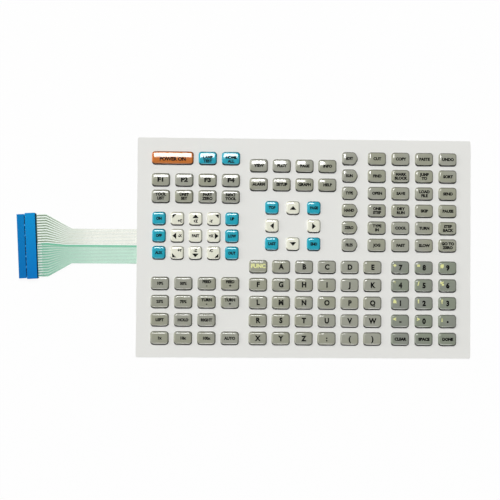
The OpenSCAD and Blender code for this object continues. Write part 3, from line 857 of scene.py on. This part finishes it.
def printed_copy(node, finish, swell):
    """A merged copy of a printed node, so much thicker or thinner on each side, which stands for the node."""
    bm = bmesh.new()
    bm.from_mesh(nodes[node].data)
    bmesh.ops.remove_doubles(bm, verts=bm.verts, dist=0.001 * MM)
    bm.normal_update()
    for vert in bm.verts:
        vert.co.z += swell * MM * math.copysign(1, vert.normal.z)
    mesh = bpy.data.meshes.new(node + "_printed")
    bm.to_mesh(mesh)
    bm.free()
    mesh.materials.clear()
    mesh.materials.append(finish)
    obj = bpy.data.objects.new(node + "_printed", mesh)
    scene.collection.objects.link(obj)
    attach(obj, "root")
    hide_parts(node)
    return obj


SPLIT_NECK_Y = 1.7
SPLIT_END_Y = 3.3
SPLIT_NECK_X = -234
SPLIT_END_X = -252
BAND_WIDTH = 2.4


def banded_coat(name, colour, band_colour, alpha, band_alpha):
    """A clear ink with a thicker band just below the split between the tail's halves."""
    material = plastic(name, colour, 0.4, contrast=0.03)
    tree = material.node_tree
    shader = node_of(tree, "BSDF_PRINCIPLED")
    place = node_of(tree, "TEX_COORD")
    plain_colour = shader.inputs["Base Color"].links[0].from_socket
    axes = tree.nodes.new("ShaderNodeSeparateXYZ")
    split = ramp(tree, SPLIT_NECK_X * MM, SPLIT_END_X * MM, SPLIT_NECK_Y * MM, SPLIT_END_Y * MM)
    below = math_node(tree, "SUBTRACT")
    band = ramp(tree, 0.7 * BAND_WIDTH * MM, BAND_WIDTH * MM, 1, 0)
    colours = tree.nodes.new("ShaderNodeMix")
    colours.data_type = "RGBA"
    colours.inputs["B"].default_value = band_colour
    cover = ramp(tree, 0, 1, alpha, band_alpha)
    link = tree.links.new
    link(place.outputs["Object"], axes.inputs[0])
    link(axes.outputs["X"], split.inputs["Value"])
    link(split.outputs["Result"], below.inputs[0])
    link(axes.outputs["Y"], below.inputs[1])
    link(below.outputs[0], band.inputs["Value"])
    link(band.outputs["Result"], colours.inputs["Factor"])
    link(plain_colour, colours.inputs["A"])
    link(colours.outputs["Result"], shader.inputs["Base Color"])
    link(band.outputs["Result"], cover.inputs["Value"])
    link(cover.outputs["Result"], shader.inputs["Alpha"])
    return material


# The tail's colours run along X from the connector to the neck
TAIL_RUN = ("X", -254, -206)
TRACK_INK = dict(roughness=0.45, grain=3, contrast=0.06)
dress("upper_circuit", faded_plastic("clear_film", linear(186, 246, 198), linear(214, 240, 216),
                                     *TAIL_RUN, roughness=0.25, contrast=0.02, alpha=0.13))
dress("lower_circuit", plastic("lower_film", linear(240, 255, 246), 0.25, contrast=0.02, alpha=0.75))
upper_ink = faded_plastic("upper_track_ink", linear(100, 116, 86), linear(250, 243, 234), *TAIL_RUN,
                          **TRACK_INK)
lower_ink = faded_plastic("lower_track_ink", linear(98, 171, 143), linear(211, 240, 225), *TAIL_RUN,
                          **TRACK_INK)
clear_coat = plastic("clear_coat", linear(222, 238, 221), 0.4, contrast=0.02, alpha=0.08)
green_coat = banded_coat("green_coat", linear(131, 212, 176), linear(118, 212, 174), alpha=0.14,
                         band_alpha=0.6)
prints = [printed_copy("upper_conductors", upper_ink, TRACK_SWELL),
          printed_copy("lower_conductors", lower_ink, TRACK_SWELL),
          printed_copy("upper_insulation", clear_coat, COAT_SWELL),
          printed_copy("lower_insulation", green_coat, COAT_SWELL)]
print("tail: two films dressed, prints of", [len(p.data.polygons) for p in prints], "faces")

# %% [markdown]
# ## The connector
# The connector's two mouldings keep their solids' form. A copy of each is merged, its flat triangles are
# joined into whole faces, and a fine bevel breaks the edges, because a moulding has no razor edge. The lip
# over the tail's mouth slopes down, so that it cannot cut the film. The bevelled mesh is then made plain,
# so that each face can get its finish by where it faces: painted shade makes the edges a shade darker and
# the side round the tail's mouth nearly navy, and painted light makes the small straps across the groove
# pale. Both blues get a painted light gradient, a little brighter at the far end than at the near end.

# %% Connector
MOULD_BEVEL = 0.3
LIP_WIDTH = 0.8
LIP_DROP = 0.4
MOUTH_FACING = 0.3
CONNECTOR_TURN = math.radians(3)
FLAT_FACING = 0.96
# The blues run along Y from the far end to the near end, as a painted light gradient
BLUE_PAINTED_LIGHT_RUN = ("Y", 32, -32)
cover_high = box_mm("connector_cover")[1].z
STRAP_DROP = 0.8
STRAP_REACH = 0.05


def slope_lip(bm):
    """Cuts the top a lip's width in from the tail's mouth and slopes the lip down."""
    axis = Vector((math.cos(CONNECTOR_TURN), math.sin(CONNECTOR_TURN), 0))
    top = max(vert.co.z for vert in bm.verts)
    start = max(axis.dot(vert.co) for vert in bm.verts) - LIP_WIDTH * MM
    everything = bm.verts[:] + bm.edges[:] + bm.faces[:]
    bmesh.ops.bisect_plane(bm, geom=everything, plane_co=axis * start, plane_no=axis, dist=0.001 * MM)
    for vert in bm.verts:
        past = axis.dot(vert.co) - start
        if vert.co.z > top - 0.01 * MM and past > 0:
            vert.co.z -= LIP_DROP / LIP_WIDTH * past


def moulded_copy(node, finishes, finish_number, lip=False):
    """A merged copy of a node with softened edges, which stands for the node."""
    bm = bmesh.new()
    bm.from_mesh(nodes[node].data)
    bmesh.ops.remove_doubles(bm, verts=bm.verts, dist=0.001 * MM)
    bmesh.ops.dissolve_limit(bm, angle_limit=math.radians(1), verts=bm.verts, edges=bm.edges)
    if lip:
        slope_lip(bm)
    mesh = bpy.data.meshes.new(node + "_merged")
    bm.to_mesh(mesh)
    bm.free()
    merged = bpy.data.objects.new(node + "_merged", mesh)
    scene.collection.objects.link(merged)
    modifier = merged.modifiers.new("edges", "BEVEL")
    modifier.width = MOULD_BEVEL * MM
    modifier.segments = 2
    modifier.limit_method = "ANGLE"
    moulded = plain_copy(merged, node + "_moulded")
    bpy.data.objects.remove(merged)
    moulded.data.materials.clear()
    for finish in finishes:
        moulded.data.materials.append(finish)
    for face in moulded.data.polygons:
        face.material_index = finish_number(face)
    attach(moulded, "root")
    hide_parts(node)
    return moulded


def is_edge(face):
    return max(abs(part) for part in face.normal) < FLAT_FACING


# Places of the finishes in a moulding's list
PLAIN, EDGE, MOUTH, STRAP = range(4)


def housing_number(face):
    return EDGE if is_edge(face) else PLAIN


def cover_number(face):
    if abs(face.center.z / MM - (cover_high - STRAP_DROP)) < STRAP_REACH:
        return STRAP
    if face.normal.x > MOUTH_FACING:
        return MOUTH
    return EDGE if is_edge(face) else PLAIN


MOULDED = dict(roughness=0.5, grain=0.4, contrast=0.06, bump=0.1, gloss=0.04)
housing_finish = faded_plastic("housing_blue", linear(0, 127, 195), linear(0, 113, 186), *BLUE_PAINTED_LIGHT_RUN,
                               **MOULDED)
cover_finish = faded_plastic("cover_blue", linear(6, 148, 214), linear(0, 118, 196), *BLUE_PAINTED_LIGHT_RUN,
                             **MOULDED)
# Painted shade on the bevelled edges and on the side round the tail's mouth, painted light on the straps'
# tops
edge_painted_shade = plastic("edge_painted_shade_blue", linear(0, 78, 138), **MOULDED)
mouth_painted_shade = plastic("mouth_painted_shade_navy", linear(0, 42, 72), **MOULDED)
strap_painted_light = plastic("strap_painted_light_blue", linear(92, 176, 228), **MOULDED)
housing = moulded_copy("connector_housing", [housing_finish, edge_painted_shade], housing_number)
cover = moulded_copy("connector_cover", [cover_finish, edge_painted_shade, mouth_painted_shade, strap_painted_light], cover_number,
                     lip=True)
dress("connector_contacts", plastic("contact_tin", linear(96, 102, 108), 0.4, metal=1.0))
straps = sum(face.material_index == STRAP for face in cover.data.polygons)
print(f"connector: housing and cover moulded, {straps} strap faces")

# %% [markdown]
# ## The layers inside
# The films, adhesives, domes and pads only show as fine lines along the keypad's edges, but each still gets
# the finish of what it is.

# %% Inner layers
adhesive_finish = plastic("adhesive_clear", linear(226, 222, 200), 0.5, grain=1.5)
pad_finish = plastic("pad_silver", linear(150, 152, 148), 0.4, grain=0.5)
white_film = plastic("white_film", linear(236, 236, 234), 0.45, grain=1.0)
dress("overlay_adhesive", adhesive_finish)
dress("rear_adhesive", adhesive_finish)
dress("release_liner", plastic("liner_paper", linear(226, 214, 184), 0.6, grain=2.0, contrast=0.06))
dress("dome_retainer", white_film)
dress("circuit_spacer", white_film)
dress("key_fillers", plastic("filler_resin", linear(190, 190, 182), 0.5))
dress("snap_domes", plastic("dome_steel", linear(205, 205, 202), 0.25, metal=1.0))
dress("upper_contact_pads", pad_finish)
dress("lower_contact_pads", pad_finish)
print("inner layers: nine nodes dressed")
